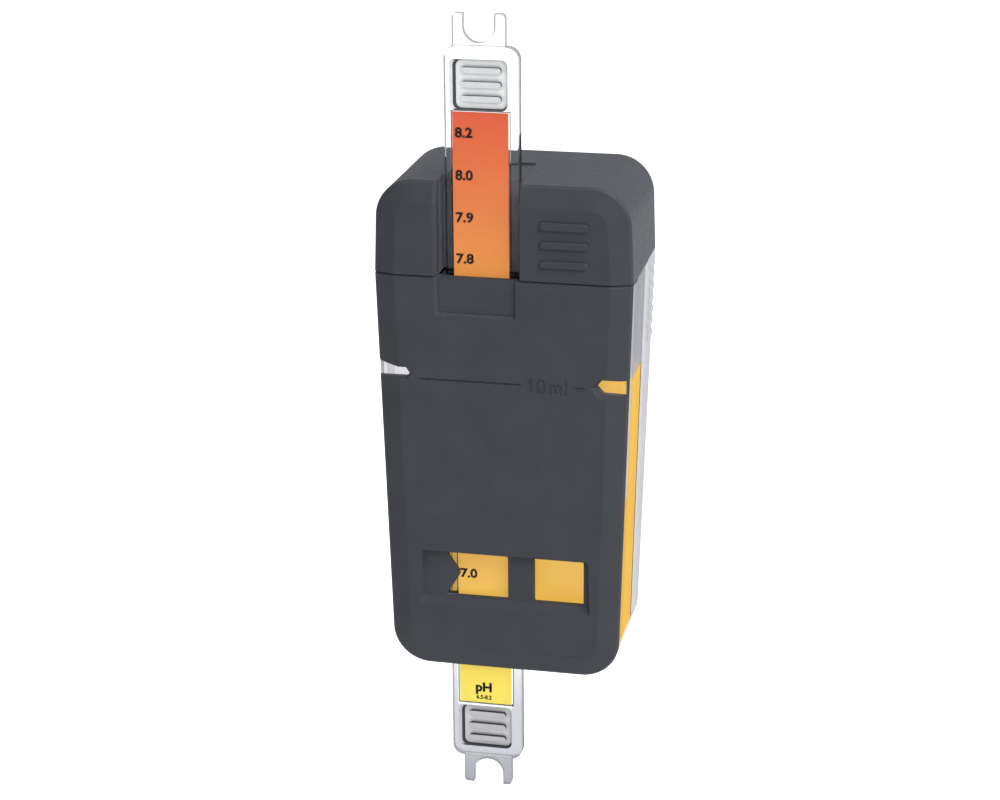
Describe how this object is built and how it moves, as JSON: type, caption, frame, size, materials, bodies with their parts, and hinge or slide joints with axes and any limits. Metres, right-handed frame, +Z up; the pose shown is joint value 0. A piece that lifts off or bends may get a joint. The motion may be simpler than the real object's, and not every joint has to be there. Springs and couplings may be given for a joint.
{
  "type": "hand-held colour comparator water tester",
  "caption": "Hand-held pool water colour comparator: dark faced block with clear test cells, lift-off plug cap and a clear sliding colour scale with forked ends.",
  "frame": {"origin": "centre of the housing, mid width, mid depth and mid height of the body that the hand holds", "axes": "+Z up along the slide, +Y to the back of the housing, +X to the right seen from the front"},
  "size_m": [0.0502, 0.0307, 0.1564],
  "materials": {
    "dark_shell": "fine satin texture",
    "black_mask": "matte",
    "soft_pad": "matte",
    "clear_cell": "clear polished",
    "frosted_white": "frosted translucent",
    "cap_liner": "matte",
    "soft_seal": "soft matte",
    "clear_slide": "clear polished",
    "scale_print": "printed colour gradient",
    "clear_backing": "clear polished"
  },
  "bodies": {
    "housing": {"front_cover": "dark_shell", "light_mask": "black_mask", "upper_friction_pad": "soft_pad", "lower_friction_pad": "soft_pad", "cell_block": "clear_cell", "rear_diffuser": "frosted_white"},
    "cap": {"cap_shell": "dark_shell", "cap_liner": "cap_liner", "left_plug_seal": "soft_seal", "right_plug_seal": "soft_seal"},
    "slide": {"slide_carrier": "clear_slide", "colour_strip": "scale_print", "strip_backing": "clear_backing"}
  },
  "joints": [
    {"name": "cap_lift", "type": "slide", "parent": "housing", "child": "cap", "axis": [0, 0, 1], "range_m": [0, 0.06]},
    {"name": "slide_travel", "type": "slide", "parent": "housing", "child": "slide", "axis": [0, 0, 1], "range_m": [-0.088, 0.016]}
  ]
}
